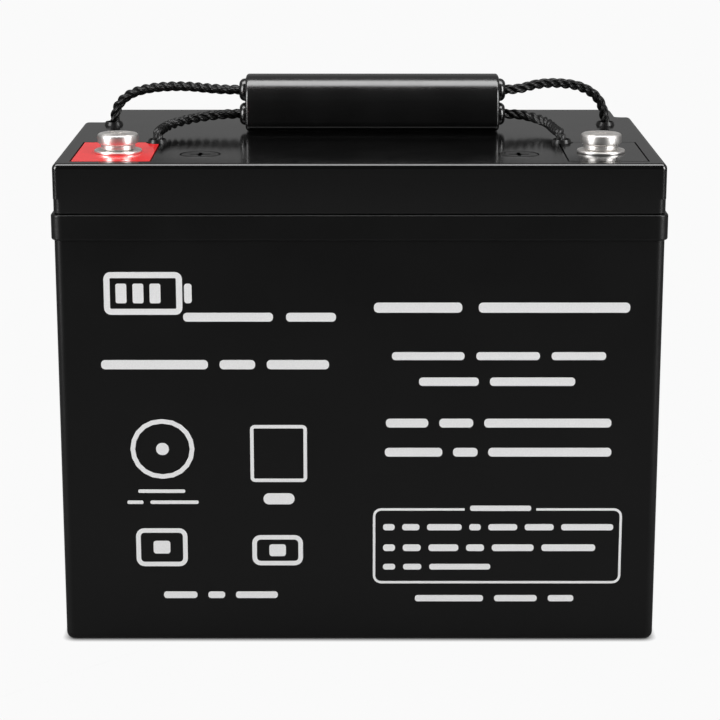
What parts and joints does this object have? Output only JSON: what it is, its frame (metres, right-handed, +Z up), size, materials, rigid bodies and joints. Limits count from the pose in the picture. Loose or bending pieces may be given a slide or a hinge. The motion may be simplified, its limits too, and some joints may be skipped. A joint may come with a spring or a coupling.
{
  "type": "deep cycle battery",
  "caption": "Sealed lead-acid battery: plain box case, flat glossy lid, screw terminals on coloured plates, slotted vent plugs and a rope handle with a moulded grip.",
  "frame": {"origin": "middle of the case's base, on the surface it stands on", "axes": "+X along the case towards the negative terminal, +Y to the back, +Z up"},
  "size_m": [0.26, 0.168, 0.236],
  "materials": {
    "case_abs": "moulded, low sheen",
    "lid_abs": "moulded, glossy",
    "inner_abs": "moulded",
    "lead": "cast and pasted, dull",
    "glass_mat": "felted glass fibre",
    "seal_rubber": "moulded",
    "tinned_brass": "tin plated",
    "marker_red": "moulded, glossy",
    "marker_black": "moulded, glossy",
    "plated_steel": "bright plated",
    "plug_abs": "moulded",
    "porous_disc": "sintered",
    "collar_nylon": "moulded",
    "rope_cord": "laid rope with a slight sheen",
    "grip_rubber": "extruded, satin"
  },
  "bodies": {
    "case": {"case_body": "case_abs", "lid": "lid_abs", "inner_cover": "inner_abs", "cell_links": "lead", "positive_post": "lead", "negative_post": "lead", "positive_post_seal": "seal_rubber", "negative_post_seal": "seal_rubber", "positive_terminal_insert": "tinned_brass", "negative_terminal_insert": "tinned_brass", "positive_marker_plate": "marker_red", "negative_marker_plate": "marker_black", "flat_washers": "plated_steel", "spring_washers": "plated_steel", "terminal_screws": "plated_steel", "vent_plug_left": "plug_abs", "vent_plug_right": "plug_abs", "vent_plug_rings": "seal_rubber", "flame_discs": "porous_disc", "rope_collars": "collar_nylon", "rope_knots": "rope_cord", "positive_plates_1": "lead", "negative_plates_1": "lead", "separator_pack_1": "glass_mat", "relief_valve_1": "seal_rubber", "positive_plates_2": "lead", "negative_plates_2": "lead", "separator_pack_2": "glass_mat", "relief_valve_2": "seal_rubber", "positive_plates_3": "lead", "negative_plates_3": "lead", "separator_pack_3": "glass_mat", "relief_valve_3": "seal_rubber", "positive_plates_4": "lead", "negative_plates_4": "lead", "separator_pack_4": "glass_mat", "relief_valve_4": "seal_rubber", "positive_plates_5": "lead", "negative_plates_5": "lead", "separator_pack_5": "glass_mat", "relief_valve_5": "seal_rubber", "positive_plates_6": "lead", "negative_plates_6": "lead", "separator_pack_6": "glass_mat", "relief_valve_6": "seal_rubber", "rope_front_left": "rope_cord", "rope_front_right": "rope_cord", "rope_rear_left": "rope_cord", "rope_rear_right": "rope_cord"},
    "ropes": {"rope_front_in_grip": "rope_cord", "rope_rear_in_grip": "rope_cord"},
    "grip": {"grip_sleeve": "grip_rubber", "grip_cap_left": "grip_rubber", "grip_cap_right": "grip_rubber"}
  },
  "joints": [
    {"name": "handle_lift", "type": "slide", "parent": "case", "child": "ropes", "axis": [0, 0, 1], "range_m": [0, 0.019], "deforming": ["rope_front_left", "rope_front_right", "rope_rear_left", "rope_rear_right"]},
    {"name": "grip_slide", "type": "slide", "parent": "ropes", "child": "grip", "axis": [1, 0, 0], "range_m": [-0.004, 0.004]}
  ]
}
